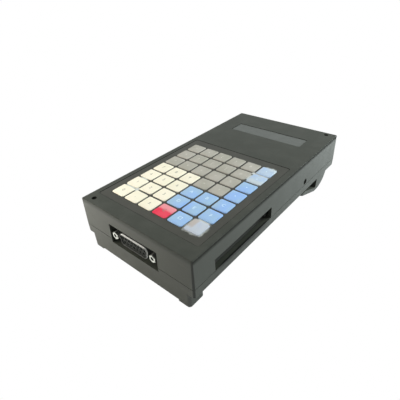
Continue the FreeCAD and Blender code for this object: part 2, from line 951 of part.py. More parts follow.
def contrast_trimmer():
    """Body of the trimmer, with a blind bore for its rotor."""
    body = block(
        (trimmer_front - trimmer_depth, trimmer_front),
        (trimmer_y - trimmer_width / 2, trimmer_y + trimmer_width / 2),
        (main_board_top, trimmer_z + trimmer_head_room),
    )
    bore = rod(
        (rotor_end - rotor_length - rotor_clearance, trimmer_y, trimmer_z), ACROSS,
        rotor_diameter + 2 * rotor_clearance, rotor_length,
    )
    return body.cut(bore)


def contrast_rotor():
    """Rotor of the trimmer, slotted for a screwdriver."""
    barrel = rod((rotor_end - rotor_length, trimmer_y, trimmer_z), ACROSS, rotor_diameter, rotor_length)
    slot = block(
        (rotor_end - rotor_slot, rotor_end),
        (trimmer_y - rotor_diameter, trimmer_y + rotor_diameter),
        (trimmer_z - rotor_slot / 2, trimmer_z + rotor_slot / 2),
    )
    return barrel.cut(slot)


def case_screws():
    """Four screws from below, each in its column."""
    screws = []
    for x, y in screw_columns:
        head_bottom = screw_seat_height - screw_head_height
        head = column(x, y, head_bottom, screw_seat_height, screw_head_diameter)
        shank = column(x, y, screw_seat_height, screw_seat_height + screw_length, screw_diameter)
        slot = block(
            (x - screw_head_diameter, x + screw_head_diameter),
            (y - screw_slot_width / 2, y + screw_slot_width / 2),
            (head_bottom, head_bottom + screw_slot_depth),
        )
        screws.append(less(joined(head, [shank]), [slot]).Solids[0])
    return screws


os.makedirs("parts", exist_ok=True)
save("front_housing", [front_housing()])
save("rear_housing", [rear_housing()])
save("keypad_bezel", [keypad_bezel()])
save("dome_sheet", [dome_sheet()])
save("keypad_board", [keypad_board()])
save("display_window", [display_window()])
save("display_frame", [display_frame()])
save("display_glass", [display_glass()])
save("display_board", [display_board()])
save("main_board", [main_board()])
save("socket_shell", [socket_shell()])
save("socket_insulator", [socket_insulator()])
save("socket_contacts", socket_contacts())
save("jack_posts", jack_posts())
save("card_guide", [card_guide()])
save("contrast_trimmer", [contrast_trimmer()])
save("contrast_rotor", [contrast_rotor()])
save("case_screws", case_screws())
for name, key_x, key_y in key_places():
    save(name, [key(key_x, key_y)])
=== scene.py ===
"""Dresses the handheld programmer: moulded and metal finishes with some painted light and shade, printed
keys, threads and a stage.
"""

import functools
import math
from typing import NamedTuple

import bmesh
import bpy
from bpy.props import FloatProperty, FloatVectorProperty, PointerProperty
from bpy.types import Operator, Panel, PropertyGroup
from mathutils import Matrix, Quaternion, Vector


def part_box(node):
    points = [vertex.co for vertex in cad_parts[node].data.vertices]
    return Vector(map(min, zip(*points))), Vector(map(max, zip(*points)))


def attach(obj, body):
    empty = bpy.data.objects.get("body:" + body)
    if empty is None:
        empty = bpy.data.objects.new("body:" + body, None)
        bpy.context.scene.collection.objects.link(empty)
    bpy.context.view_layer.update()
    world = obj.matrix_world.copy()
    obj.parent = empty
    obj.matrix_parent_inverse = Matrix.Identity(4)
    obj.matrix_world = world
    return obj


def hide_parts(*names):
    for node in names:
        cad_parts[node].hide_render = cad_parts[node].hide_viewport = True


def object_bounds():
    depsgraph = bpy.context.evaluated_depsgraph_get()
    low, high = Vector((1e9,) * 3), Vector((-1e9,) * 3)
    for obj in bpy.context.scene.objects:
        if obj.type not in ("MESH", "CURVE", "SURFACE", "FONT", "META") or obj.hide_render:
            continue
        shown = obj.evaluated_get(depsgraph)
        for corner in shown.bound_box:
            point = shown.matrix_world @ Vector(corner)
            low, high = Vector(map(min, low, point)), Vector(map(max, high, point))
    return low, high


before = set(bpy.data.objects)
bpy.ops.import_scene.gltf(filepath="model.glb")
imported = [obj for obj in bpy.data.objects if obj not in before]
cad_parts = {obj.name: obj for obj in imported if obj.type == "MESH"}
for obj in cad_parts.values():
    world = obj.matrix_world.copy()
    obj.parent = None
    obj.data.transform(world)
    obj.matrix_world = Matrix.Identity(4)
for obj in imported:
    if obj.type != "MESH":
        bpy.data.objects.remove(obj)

bl_info = {
    "name": "Handheld Programmer",
    "version": (1, 0, 0),
    "blender": (4, 5, 0),
    "location": "3D View > Sidebar > Programmer",
    "description": "Dresses the pieces of a handheld programmer and sets its stage",
    "category": "Object",
}

MM = 0.001
WELD = 0.0005 * MM       # points closer than this are one
SMOOTH_ANGLE = math.radians(35.0)
SAME_WAY = 0.99          # directions whose dot product is over this are taken as one
CAPITAL_SHARE = 0.72     # height of a capital as a share of its type size
UP = Vector((0.0, 0.0, 1.0))
DOWN = -UP
BACK = Vector((0.0, 1.0, 0.0))
FRONT = -BACK
CAD_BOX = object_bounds()


class Cap(NamedTuple):
    """Kind of key cap: finish, colour and ink in the settings, strength of its stain, and slot."""

    finish: str
    tint: str
    stain_share: float
    ink: str
    slot: str


CAPS = {
    "W": Cap("White cap", "white", 0.3, "dark", "key_white"),
    "G": Cap("Grey cap", "grey", 0.8, "grey", "key_grey"),
    "B": Cap("Blue cap", "blue", 0.8, "light", "key_blue"),
    "R": Cap("Red cap", "red", 0.4, "dark", "key_red"),
    "P": Cap("Faded cap", "pale", 0.7, "light", "key_blue"),
    "T": Cap("Worn cap", "bare", 0.7, "light", "key_blue"),
}

# Keys, row by row from the display down: the kind of each cap, and a plain sign on it
CAP_ROWS = ("GGGGGP", "GGGGGP", "GGGGGB", "WWWGGB", "WWWBBB", "WWWBBB", "WWWRBT")
SIGN_ROWS = ("<>()&▴", "≤≥[]#▾", "=≠+−%◂", "789×÷▸", "456ABC", "123DEF", "0.±C□ ")
CLEAR_KEY = "key_row7_col4"
WORN_KEY = "key_row7_col6"

# Crown of a cap, ring by ring: its outline as a share of the last ring, and its share of the rise
CROWN_RINGS = ((0.84, 0.65), (0.72, 0.35))

# Places where the coat of the bezel is worn pale: midway between two keys, and the reach in millimetres
WORN_PLACES = (
    (WORN_KEY, WORN_KEY, (6.5, 6.3, 1.0)),
    ("key_row6_col6", WORN_KEY, (4.4, 1.5, 1.0)),
    ("key_row1_col6", "key_row1_col6", (5.5, 6.8, 1.0)),
    ("key_row1_col6", "key_row2_col6", (5.8, 2.2, 1.0)),
    ("key_row2_col5", "key_row2_col6", (1.8, 3.6, 1.0)),
    ("key_row1_col5", "key_row2_col6", (1.2, 1.4, 1.0)),
    ("key_row6_col1", "key_row7_col2", (2.0, 2.0, 1.0)),
    ("key_row6_col1", "key_row7_col1", (4.5, 1.2, 1.0)),
    ("key_row5_col1", "key_row6_col1", (3.0, 1.1, 1.0)),
)

# Reach of the other soft patches, in millimetres; the last is the painted shade on the sill of the card slot
FADE_REACH = (7.5, 4.4, 1.0)
STAIN_REACH = (2.5, 4.4, 1.0)
SLOT_SHADE_REACH = (1.0, 29.0, 2.4)


def colour(name, description, default):
    """Colour that a user may change."""
    return FloatVectorProperty(
        name=name, description=description, subtype="COLOR", size=3, min=0.0, max=1.0, default=default
    )


def length(name, description, default):
    """Length that a user may change, in metres."""
    return FloatProperty(
        name=name, description=description, subtype="DISTANCE", unit="LENGTH", min=0.0, precision=6,
        default=default,
    )


def point(name, description, default):
    """Point that a user may change, in metres."""
    return FloatVectorProperty(
        name=name, description=description, subtype="TRANSLATION", unit="LENGTH", size=3, default=default
    )


def strength(name, description, default):
    """Strength of a light that a user may change."""
    return FloatProperty(name=name, description=description, min=0.0, default=default)


class CaseSettings(PropertyGroup):
    """Finish of the moulded case and of the grid around the keys, with painted shade on their edges and on
    the sill of the card slot.
    """

    plastic: colour("Case", "Moulded plastic of the two housings", (0.036, 0.0384, 0.031))
    # Edge: painted shade on the rounded edges and on the walls close under the rim, and dirt with painted
    # shade along sharp edges
    edge: colour("Edge", "Case plastic on its edges, dull with grime", (0.006, 0.006, 0.005))
    dust: colour("Dust", "Dust that settles on the case", (0.30, 0.29, 0.26))
    bezel: colour("Bezel", "Grid around the keys", (0.045, 0.044, 0.037))
    worn: colour("Worn bezel", "Bezel where its coat is worn off", (0.55, 0.57, 0.54))
    # Painted shade on the sill of the card slot, which lies in shade, and the height of its middle
    grime: colour("Grime", "Case plastic on the sill of the card slot", (0.008, 0.008, 0.007))
    grime_height: length("Grime height", "Middle of that grime", 17.0 * MM)
    skirt_height: length("Skirt height", "Lower edge of the side walls", 10.0 * MM)


class KeySettings(PropertyGroup):
    """Shape and colours of the keys."""

    white: colour("White caps", "Number keys", (0.815, 0.755, 0.615))
    white_stain: colour("White stain", "Patches on white caps", (0.70, 0.66, 0.49))
    grey: colour("Grey caps", "Function keys", (0.395, 0.37, 0.325))
    grey_stain: colour("Grey stain", "Patches on grey caps", (0.33, 0.315, 0.265))
    blue: colour("Blue caps", "Editing keys", (0.27, 0.43, 0.735))
    blue_stain: colour("Blue stain", "Patches on blue caps", (0.32, 0.47, 0.62))
    red: colour("Red cap", "Clear key", (0.72, 0.028, 0.073))
    red_stain: colour("Red stain", "Patches on the red cap", (0.68, 0.10, 0.13))
    faded_red: colour("Faded red", "Far side of the clear key, faded by use", (0.73, 0.25, 0.28))
    fade_offset: point("Fade offset", "Middle of that side from the cap's middle", (0.0, 4.2 * MM, 0.0))
    pale: colour("Faded caps", "Blue keys faded by use", (0.33, 0.465, 0.69))
    pale_stain: colour("Faded stain", "Patches on faded caps", (0.55, 0.58, 0.55))
    bare: colour("Worn cap", "Key worn down to its bare plastic", (0.355, 0.425, 0.59))
    bare_stain: colour("Worn stain", "Patches on the worn cap", (0.51, 0.53, 0.55))
    tan: colour("Tan stain", "Large stain on the worn key", (0.434, 0.388, 0.364))
    tan_offset: point("Tan offset", "Middle of it from the cap's middle", (-3.8 * MM, 1.5 * MM, 0.0))
    dark_ink: colour("Dark ink", "Signs on white and red caps", (0.30, 0.28, 0.23))
    light_ink: colour("Light ink", "Signs on blue caps", (0.68, 0.84, 0.95))
    grey_ink: colour("Grey ink", "Signs on grey caps", (0.60, 0.58, 0.52))
    cap_width: length("Cap width", "Cap across", 11.1 * MM)
    cap_length: length("Cap length", "Cap along", 10.8 * MM)
    corner_radius: length("Corner radius", "Upright corners of a cap", 1.0 * MM)
    edge_radius: length("Edge radius", "Rounding around the top of a cap", 0.4 * MM)
    crown: length("Crown", "Height of the middle of a cap over its rim", 0.12 * MM)
    play: length("Play", "Collar of a key below the bezel", 0.1 * MM)
    collar_thickness: length("Collar", "Collar that holds a key under the bezel", 0.9 * MM)
    plunger_size: length("Plunger", "Side of the square plunger", 4.6 * MM)
    sign_height: length("Sign height", "Height of the printed signs", 2.5 * MM)
    ink_thickness: length("Ink", "Thickness of the printed signs", 0.02 * MM)


class SocketSettings(PropertyGroup):
    """Shape of the socket contacts and of the jack posts."""

    contact_diameter: length("Contact", "Barrel of a contact", 1.5 * MM)
    contact_bore: length("Contact bore", "Hole in the front of a contact", 1.02 * MM)
    contact_depth: length("Contact depth", "Depth of that hole", 5.0 * MM)
    tail_diameter: length("Tail", "Tail of a contact, down to the board", 0.7 * MM)
    stub_length: length("Stub length", "Thread of a jack post behind its hexagon", 3.8 * MM)
    thread_diameter: length("Thread", "Thread of a jack post, inside and out", 2.8 * MM)
    thread_pitch: length("Thread pitch", "Rise of that thread in one turn", 0.635 * MM)
    thread_depth: length("Thread depth", "Height of a tooth of that thread", 0.3 * MM)
    bore_depth: length("Bore depth", "Depth of the tapped hole", 4.6 * MM)
    chamfer: length("Chamfer", "Turned rim of the hexagon", 0.25 * MM)


class ScrewSettings(PropertyGroup):
    """Shape of the case screws."""

    head_height: length("Head height", "Pan head of a screw", 2.2 * MM)
    head_round: length("Head rounding", "Rounded rim of the head", 1.3 * MM)
    slot_width: length("Slot width", "Slot for the driver", 0.9 * MM)
    slot_depth: length("Slot depth", "Depth of that slot", 1.0 * MM)
    thread_diameter: length("Thread", "Outside of the thread", 2.9 * MM)
    thread_pitch: length("Thread pitch", "Rise of the thread in one turn", 1.1 * MM)
    thread_depth: length("Thread depth", "Height of a tooth of the thread", 0.4 * MM)
    tip_length: length("Tip", "Tapered end of the screw", 1.2 * MM)


class StageSettings(PropertyGroup):
    """Floor, lights and camera."""

    floor: colour("Floor", "Pale floor as the object mirrors it", (0.60, 0.60, 0.60))
    floor_size: length("Floor size", "Side of the floor", 12.0)
    floor_gap: length("Floor gap", "Floor below the object's feet", 0.05 * MM)
    sky: colour("Sky", "Pale surroundings", (0.91, 0.95, 0.94))
    sky_strength: strength("Sky strength", "Brightness of the surroundings", 0.43)
    overhead_place: point("Overhead place", "Middle of the soft box above", (-0.10, 0.10, 0.90))
    overhead_size: length("Overhead size", "Side of the light", 0.90)
    overhead_tint: colour("Overhead tint", "Colour of the light", (1.0, 1.0, 1.0))
    overhead_power: strength("Overhead power", "Power, in watts", 1.29)
    left_place: point("Left place", "Middle of the soft box on the left", (-0.19, -0.21, 0.075))
    left_size: length("Left size", "Side of the light", 0.20)
    left_tint: colour("Left tint", "Colour of the light", (1.0, 0.965, 0.90))
    left_power: strength("Left power", "Power, in watts", 1.22)
    right_place: point("Right place", "Middle of the soft box on the far right", (0.31, 0.45, 0.20))
    right_size: length("Right size", "Side of the light", 0.30)
    right_tint: colour("Right tint", "Colour of the light", (0.90, 0.99, 1.0))
    right_power: strength("Right power", "Power, in watts", 6.7)
    camera_place: point("Camera", "Place of the camera", (0.12896, -0.17397, 0.15485))
    camera_target: point("Target", "Point that the camera looks at", (-0.0141, -0.01397, 0.00583))
    camera_near: length("Nearest view", "Distance from which the camera sees", 0.01)
    camera_roll: FloatProperty(
        name="Roll", description="Turn of the camera about its line of sight", subtype="ANGLE",
        default=math.radians(-3.08),
    )
    camera_lens: FloatProperty(
        name="Lens", description="Focal length on a 36 mm sensor", unit="CAMERA", default=29.87
    )


def fill(tree, node, inputs):
    """Set the values of a node's inputs and draw their links."""
    for socket, value in inputs.items():
        if isinstance(value, bpy.types.NodeSocket):
            tree.links.new(value, node.inputs[socket])
        else:
            node.inputs[socket].default_value = value


def add_node(tree, kind, inputs=None, **settings):
    """Node with its settings made and its inputs filled."""
    node = tree.nodes.new(kind)
    for name, value in settings.items():
        setattr(node, name, value)
    fill(tree, node, inputs or {})
    return node


def mix(tree, factor, first, second):
    """Colour between two others."""
    ends = [end if isinstance(end, bpy.types.NodeSocket) else (*end, 1.0) for end in (first, second)]
    return add_node(tree, "ShaderNodeMix", {0: factor, 6: ends[0], 7: ends[1]}, data_type="RGBA").outputs[2]


def fit(tree, value, low, high, new_low=0.0, new_high=1.0):
    """Value moved from one range to another and held there."""
    node = add_node(
        tree, "ShaderNodeMapRange",
        {"Value": value, "From Min": low, "From Max": high, "To Min": new_low, "To Max": new_high},
    )
    return node.outputs["Result"]


def vary(tree, mask, low, high):
    """Value that goes from low to high with a mask."""
    return fit(tree, mask, 0.0, 1.0, low, high)


def calculate(tree, operation, first, second):
    """Sum, product or other result of two values."""
    return add_node(tree, "ShaderNodeMath", {0: first, 1: second}, operation=operation).outputs[0]


def times(tree, first, second):
    """Product of two values."""
    return calculate(tree, "MULTIPLY", first, second)


def combine(tree, operation, first, second, output="Vector"):
    """Sum, product or other result of two vectors."""
    node = add_node(tree, "ShaderNodeVectorMath", {0: first, 1: second}, operation=operation)
    return node.outputs[output]


def dot(tree, first, second):
    """Dot product of two vectors."""
    return combine(tree, "DOT_PRODUCT", first, second, output="Value")


def parts_of(tree, vector):
    """X, Y and Z of a vector."""
    return add_node(tree, "ShaderNodeSeparateXYZ", {0: vector}).outputs


def normal_of(tree):
    """Direction that the surface looks in."""
    return add_node(tree, "ShaderNodeNewGeometry").outputs["Normal"]


def millimetres(tree):
    """Place on the object, in millimetres."""
    place = add_node(tree, "ShaderNodeTexCoord").outputs["Object"]
    return combine(tree, "DIVIDE", place, (MM, MM, MM))


def noise(tree, place, scale, detail=2.0, roughness=0.5):
    """Cloudy value between 0 and 1."""
    node = add_node(
        tree, "ShaderNodeTexNoise",
        {"Vector": place, "Scale": scale, "Detail": detail, "Roughness": roughness},
    )
    return node.outputs["Fac"]


def patchy(tree, place, scale, low=0.3, high=0.7, **clouds):
    """Mask of the clouds of a noise, from where they start to where they are full."""
    return fit(tree, noise(tree, place, scale, **clouds), low, high)


def brick_joints(tree, place, width, height, joint, softness, **settings):
    """Mask of the joints between rows of bricks, with sizes in millimetres."""
    node = add_node(
        tree, "ShaderNodeTexBrick",
        {
            "Vector": place, "Scale": 1.0, "Mortar Size": joint, "Mortar Smooth": softness,
            "Brick Width": width, "Row Height": height,
        },
        **settings,
    )
    return node.outputs["Fac"]


def new_group(name, inputs):
    """Empty shader group with its inputs."""
    group = bpy.data.node_groups.new(name, "ShaderNodeTree")
    for label, default in inputs.items():
        kind = "NodeSocketFloat" if isinstance(default, float) else "NodeSocketVector"
        socket = group.interface.new_socket(label, in_out="INPUT", socket_type=kind)
        socket.default_value = default
    return group, group.nodes.new("NodeGroupInput").outputs


def put_out(group, **values):
    """Give a shader group its outputs, and return it."""
    for label in values:
        group.interface.new_socket(label, in_out="OUTPUT", socket_type="NodeSocketFloat")
    fill(group, group.nodes.new("NodeGroupOutput"), values)
    return group


def built_once(build):
    """Let a shader group be built once, and found by its name after that."""
    name = build.__name__.replace("_", " ").capitalize()

    @functools.wraps(build)
    def find_or_build():
        return bpy.data.node_groups.get(name) or build(name)

    return find_or_build


@built_once
def moulded_grain(name):
    """Group: fine grain of a mould, and a broad cloudiness under it."""
    group, given = new_group(name, {"Grains per mm": 3.0, "Clouds per mm": 0.05})
    place = millimetres(group)
    height = noise(group, place, given["Grains per mm"])
    cloud = noise(group, place, given["Clouds per mm"], detail=4.0)
    return put_out(group, Height=height, Cloud=cloud)


@built_once
def rubbed_edges(name):
    """Group: mask along the edges of a piece, broken up by noise."""
    group, given = new_group(name, {"Reach": 0.5 * MM, "Patches per mm": 0.4})
    softened = add_node(group, "ShaderNodeBevel", {"Radius": given["Reach"]}, samples=6).outputs[0]
    edge = fit(group, dot(group, softened, normal_of(group)), 0.995, 0.86)
    patches = patchy(group, millimetres(group), given["Patches per mm"], detail=3.0)
    return put_out(group, Mask=times(group, edge, patches))


@built_once
def rounded_edges(name):
    """Group: painted shade on the rounded corners above the skirt, and on the walls close under the rim,
    stronger on the sides than on the ends.
    """
    heights = {"Skirt height": 10.0, "Rim height": 40.0, "Fade depth": 3.6, "Full depth": 1.2}
    shares = {"Corner share": 0.5, "Rim share": 0.2, "Side share": 0.85, "End share": 0.36}
    group, given = new_group(name, heights | shares)
    sides = add_node(group, "ShaderNodeVectorMath", {0: normal_of(group)}, operation="ABSOLUTE").outputs[0]
    parts = parts_of(group, sides)
    largest = calculate(group, "MAXIMUM", calculate(group, "MAXIMUM", parts["X"], parts["Y"]), parts["Z"])
    height = parts_of(group, millimetres(group))["Z"]
    above_skirt = calculate(group, "GREATER_THAN", height, given["Skirt height"])
    corner_share = fit(group, parts["Z"], 0.0, 0.4, given["Corner share"], given["Rim share"])
    corners = times(group, times(group, fit(group, largest, 0.99, 0.92), above_skirt), corner_share)
    depth = calculate(group, "SUBTRACT", given["Rim height"], height)
    near_rim = fit(group, depth, given["Fade depth"], given["Full depth"])
    upright = fit(group, parts["Z"], 0.6, 0.2)
    wall_share = fit(group, parts["Y"], 0.2, 0.8, given["Side share"], given["End share"])
    walls = times(group, times(group, near_rim, upright), wall_share)
    return put_out(group, Mask=calculate(group, "MAXIMUM", corners, walls))


@built_once
def handling(name):
    """Group: greasy smudges, and fine scratches along two directions."""
    scratch_turns = (0.5, -0.9)
    scratch_stretch = (0.03, 2.6, 0.2)
    group, given = new_group(name, {"Smudges per mm": 0.12})
    place = millimetres(group)
    smudge = patchy(group, place, given["Smudges per mm"], detail=5.0, roughness=0.6)
    lines = []
    for turn in scratch_turns:
        stretched = add_node(
            group, "ShaderNodeMapping",
            {"Vector": place, "Rotation": (0.0, 0.0, turn), "Scale": scratch_stretch},
        )
        lines.append(patchy(group, stretched.outputs[0], 1.0, low=0.70, high=0.76, detail=1.0))
    return put_out(group, Smudge=smudge, Scratch=calculate(group, "MAXIMUM", *lines))


@built_once
def settled_dust(name):
    """Group: patchy mask on the faces that look up."""
    group, given = new_group(name, {"Patches per mm": 0.08})
    upward = fit(group, parts_of(group, normal_of(group))["Z"], 0.2, 0.9)
    patches = patchy(
        group, millimetres(group), given["Patches per mm"], low=0.45, high=0.8, detail=6.0, roughness=0.65
    )
    return put_out(group, Mask=times(group, upward, patches))


@built_once
def worn_spot(name):
    """Group: soft mask of a square with round corners about a point."""
    group, given = new_group(name, {"Centre": (0.0, 0.0, 0.0), "Reach": (5.0, 5.0, 5.0)})
    place = millimetres(group)
    away = combine(group, "DIVIDE", combine(group, "SUBTRACT", place, given["Centre"]), given["Reach"])
    squared = combine(group, "MULTIPLY", away, away)
    uneven = vary(group, patchy(group, place, 0.25), 0.6, 1.5)
    mask = fit(group, times(group, dot(group, squared, squared), uneven), 1.4, 0.2)
    return put_out(group, Mask=mask)


def place_group(tree, group, **inputs):
    """Group in a material, with its own values."""
    node = add_node(tree, "ShaderNodeGroup", node_tree=group)
    fill(tree, node, {name.replace("_", " "): value for name, value in inputs.items()})
    return node.outputs


def new_material(name):
    """Material with its tree and its shader."""
    material = bpy.data.materials.new(name)
    material.use_nodes = True
    return material, material.node_tree, material.node_tree.nodes["Principled BSDF"]


def set_bump(tree, shader, height, distance, strength=0.5):
    """Fine relief on a surface, distance in metres."""
    bump = add_node(tree, "ShaderNodeBump", {"Height": height, "Distance": distance, "Strength": strength})
    fill(tree, shader, {"Normal": bump.outputs[0]})


def shade(base, gain):
    """Lighter or darker shade of a colour."""
    return [min(1.0, gain * channel) for channel in base]


def dress(material, *names):
    """Give CAD nodes a finish."""
    for name in names:
        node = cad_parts[name]
        node.data.materials.clear()
        node.data.materials.append(material)


def moulded_plastic(name, plastic, settings, grain_depth, edge_reach):
    """Moulded plastic with a fine grain, dull edges darkened by painted shade and dirt, smudges and a little
    dust.
    """
    material, tree, shader = new_material(name)
    grain = place_group(tree, moulded_grain(), Grains_per_mm=2.6, Clouds_per_mm=0.03)
    rim_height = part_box("front_housing")[1].z
    edge_shade = place_group(
        tree, rounded_edges(), Skirt_height=settings.skirt_height / MM, Rim_height=rim_height / MM
    )
    sharp_edges = place_group(tree, rubbed_edges(), Reach=edge_reach)
    edges = calculate(tree, "MAXIMUM", edge_shade["Mask"], sharp_edges["Mask"])
    marks = place_group(tree, handling())
    settled = place_group(tree, settled_dust())
    scratch_share = 0.03
    dust_share = 0.06
    lighter = shade(plastic, gain=1.25)
    base = mix(tree, grain["Cloud"], plastic, lighter)
    # Painted shade: the edge colour darkens the rounded edges and the walls under the rim, and, with dirt, a
    # thin band along sharp edges
    base = mix(tree, edges, base, settings.edge)
    base = mix(tree, times(tree, marks["Scratch"], scratch_share), base, settings.dust)
    base = mix(tree, times(tree, settled["Mask"], dust_share), base, settings.dust)
    clean_roughness = 0.30
    smudged = vary(tree, marks["Smudge"], clean_roughness, 0.38)
    dull = vary(tree, edges, clean_roughness, 0.95)
    fill(tree, shader, {"Base Color": base, "Roughness": calculate(tree, "MAXIMUM", smudged, dull)})
    set_bump(tree, shader, grain["Height"], grain_depth)
    return material


def wear_through(material, worn, places):
    """Soft patches of another colour, for wear and stains and for painted shade, each about a point in
    metres, with its reach in millimetres.
    """
    tree = material.node_tree
    shader = tree.nodes["Principled BSDF"]
    mask = 0.0
    for middle, reach in places:
        spot = place_group(tree, worn_spot(), Centre=middle / MM, Reach=reach)
        mask = calculate(tree, "MAXIMUM", mask, spot["Mask"])
    base = shader.inputs["Base Color"].links[0].from_socket
    fill(tree, shader, {"Base Color": mix(tree, mask, base, worn)})


def between(first, second):
    """Point level with the top of the bezel, midway between two keys."""
    corners = [*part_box(first), *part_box(second)]
    middle = sum(corners, Vector()) / len(corners)
    middle.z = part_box("keypad_bezel")[1].z
    return middle


def cap_plastic(name, plastic, stain, stain_share):
    """Smooth key plastic with a stain in its clouds and on its edges, and finger marks."""
    material, tree, shader = new_material(name)
    grain = place_group(tree, moulded_grain(), Grains_per_mm=5.0, Clouds_per_mm=0.09)
    marks = place_group(tree, handling(), Smudges_per_mm=0.3)
    edges = place_group(tree, rubbed_edges(), Reach=0.35 * MM, Patches_per_mm=0.25)
    edge_share = 0.4
    clouds = fit(tree, grain["Cloud"], 0.4, 0.62)
    base = mix(tree, times(tree, clouds, stain_share), plastic, stain)
    base = mix(tree, times(tree, edges["Mask"], edge_share), base, stain)
    fill(tree, shader, {"Base Color": base, "Roughness": vary(tree, marks["Smudge"], 0.32, 0.48)})
    set_bump(tree, shader, grain["Height"], 0.006 * MM)
    return material


def printed_ink(tone, ink):
    """Screen-printed ink, a little worn."""
    material, tree, shader = new_material(f"{tone.capitalize()} ink")
    worn = shade(ink, gain=0.8)
    patches = patchy(tree, millimetres(tree), 1.6, low=0.35, detail=3.0)
    base = mix(tree, patches, ink, worn)
    fill(tree, shader, {"Base Color": base, "Roughness": 0.55})
    return material


def plated_metal(name, bright, dull, roughness):
    """Plated metal, clouded by handling."""
    material, tree, shader = new_material(name)
    marks = place_group(tree, handling(), Smudges_per_mm=0.5)
    base = mix(tree, marks["Smudge"], bright, dull)
    smudged = vary(tree, marks["Smudge"], roughness, roughness + 0.2)
    fill(tree, shader, {"Base Color": base, "Metallic": 1.0, "Roughness": smudged})
    return material


def post_plate():
    """Nickel plate of the jack posts, bright on the faces that look out, with painted shade on their sides,
    where they would mirror the dark recess.
    """
    clean = (0.78, 0.80, 0.75)
    smudged = (0.66, 0.68, 0.63)
    # Painted shade on the sides of the posts
    dull = (0.16, 0.16, 0.15)
    material, tree, shader = new_material("Nickel plate")
    marks = place_group(tree, handling(), Smudges_per_mm=0.5)
    bright = mix(tree, marks["Smudge"], clean, smudged)
    # Faces that look out keep the bright plate; the sides get the painted shade
    outward = fit(tree, parts_of(tree, normal_of(tree))["Y"], -0.3, -0.7)
    base = mix(tree, outward, dull, bright)
    fill(tree, shader, {"Base Color": base, "Metallic": 0.6, "Roughness": 0.35})
    return material


def shell_plate(low, high):
    """Tin plate of the socket shell, with a painted highlight on the outside of its rim and painted shade on
    the rest.
    """
    # Painted highlight on the outside of the rim, clean and smudged
    clean = (0.97, 0.96, 0.93)
    smudged = (0.90, 0.89, 0.85)
    # Painted shade on the rest of the shell
    dull = (0.06, 0.06, 0.056)
    rim_depth = 1.0
    rim_softness = 0.1
    material, tree, shader = new_material("Tin plate")
    marks = place_group(tree, handling(), Smudges_per_mm=0.5)
    plate = mix(tree, marks["Smudge"], clean, smudged)
    place = millimetres(tree)
    rim_end = low.y / MM + rim_depth
    rim = fit(tree, parts_of(tree, place)["Y"], rim_end + rim_softness, rim_end - rim_softness)
    away = combine(tree, "SUBTRACT", place, (low + high) / (2 * MM))
    across = combine(tree, "MULTIPLY", away, (1.0, 0.0, 1.0))
    outside = fit(tree, dot(tree, across, normal_of(tree)), 0.5, 2.0)
    # Painted highlight on the outside of the front rim, painted shade elsewhere
    base = mix(tree, times(tree, rim, outside), dull, plate)
    fill(tree, shader, {"Base Color": base, "Roughness": vary(tree, marks["Smudge"], 0.40, 0.55)})
    return material


def plain_plastic(name, plastic, roughness=0.5):
    """Plain moulded plastic with a slight cloudiness."""
    material, tree, shader = new_material(name)
    grain = place_group(tree, moulded_grain(), Grains_per_mm=4.0, Clouds_per_mm=0.2)
    lighter = shade(plastic, gain=1.5)
    base = mix(tree, grain["Cloud"], plastic, lighter)
    cloudy = vary(tree, grain["Cloud"], roughness - 0.1, roughness + 0.1)
    fill(tree, shader, {"Base Color": base, "Roughness": cloudy})
    set_bump(tree, shader, grain["Height"], 0.01 * MM)
    return material


class PROGRAMMER_OT_dress_case(Operator):
    """Give the housings and the bezel their moulded plastic, with painted shade on their edges and on the
    sill of the card slot
    """

    bl_idname = "programmer.dress_case"
    bl_label = "Dress Case"

    def execute(self, context):
        settings = context.scene.programmer_case
        case = moulded_plastic(
            "Housing plastic", settings.plastic, settings, grain_depth=0.02 * MM, edge_reach=0.1 * MM
        )
        bezel = moulded_plastic(
            "Bezel plastic", settings.bezel, settings, grain_depth=0.01 * MM, edge_reach=0.4 * MM
        )
        worn_places = [(between(first, second), reach) for first, second, reach in WORN_PLACES]
        wear_through(bezel, settings.worn, worn_places)
        # Painted shade on the sill of the card slot, which lies in shade
        guide_low, guide_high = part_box("card_guide")
        sill = Vector((CAD_BOX[1].x, (guide_low.y + guide_high.y) / 2, settings.grime_height))
        wear_through(case, settings.grime, [(sill, SLOT_SHADE_REACH)])
        dress(case, "front_housing", "rear_housing")
        dress(bezel, "keypad_bezel")
        return {"FINISHED"}


def start_piece(*pieces):
    """Leave edit mode and select nothing but the pieces given."""
    if bpy.context.mode != "OBJECT":
        bpy.ops.object.mode_set(mode="OBJECT")
    bpy.ops.object.select_all(action="DESELECT")
    for piece in pieces:
        piece.select_set(True)
    if pieces:
        bpy.context.view_layer.objects.active = pieces[0]


def finish_piece():
    """Leave edit mode with all normals outwards, and return the piece in hand."""
    bpy.ops.mesh.select_all(action="SELECT")
    bpy.ops.mesh.normals_make_consistent()
    bpy.ops.object.mode_set(mode="OBJECT")
    return bpy.context.object


def pick(kind, passes):
    """Select the faces or the edges of the piece in hand that pass a test."""
    bpy.ops.mesh.select_mode(type=kind)
    bpy.ops.mesh.select_all(action="DESELECT")
    mesh = bpy.context.object.data
    shape = bmesh.from_edit_mesh(mesh)
    for part in shape.faces if kind == "FACE" else shape.edges:
        part.select_set(passes(part))
    bmesh.update_edit_mesh(mesh)


def pick_faces(direction):
    """Select the flat faces of the piece in hand that look in a direction."""
    pick("FACE", lambda face: face.normal.dot(direction) > SAME_WAY)


def pick_upright_edges():
    """Select the edges of the piece in hand that run along Z."""
    pick("EDGE", lambda edge: abs((edge.verts[0].co - edge.verts[1].co).normalized().z) > SAME_WAY)


def round_rim(direction, radius, segments):
    """Bevel the outline of the flat faces that look in a direction."""
    pick_faces(direction)
    bpy.ops.mesh.region_to_loop()
    bpy.ops.mesh.bevel(offset=radius, segments=segments)


